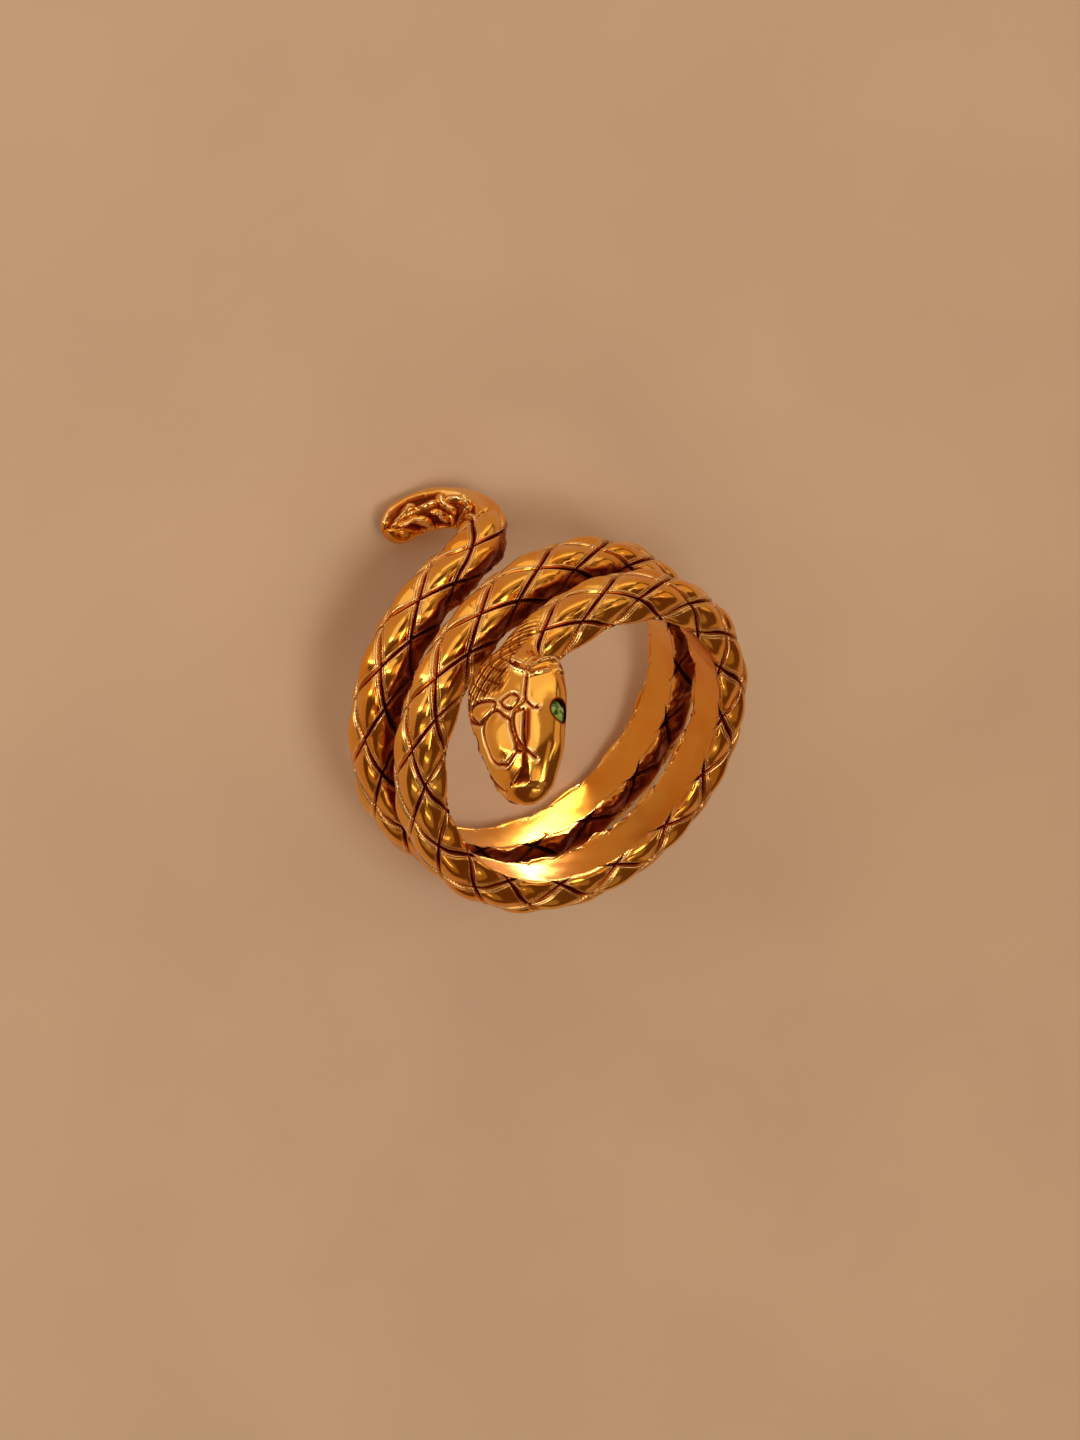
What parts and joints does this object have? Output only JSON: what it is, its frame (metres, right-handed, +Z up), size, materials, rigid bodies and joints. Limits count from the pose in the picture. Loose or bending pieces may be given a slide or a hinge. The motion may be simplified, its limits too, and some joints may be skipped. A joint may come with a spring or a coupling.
{
  "type": "snake wrap ring",
  "caption": "Finger ring cast as a scaled snake that winds twice round the finger, with cut green stones for eyes",
  "frame": {"origin": "middle of the bottom of the bounding box, where the ring lies on a flat surface", "axes": "+Z up from the surface, +X to the right of the snake's head as the ring is seen from above, +Y towards the tail's hook"},
  "size_m": [0.0228, 0.0242, 0.0217],
  "materials": {
    "gold": "warm polished gold plate, darkened in the grooves",
    "green_stone": "faceted, polished green glass"
  },
  "bodies": {
    "root": {"snake": "gold", "eye_left": "green_stone", "eye_right": "green_stone"}
  },
  "joints": []
}
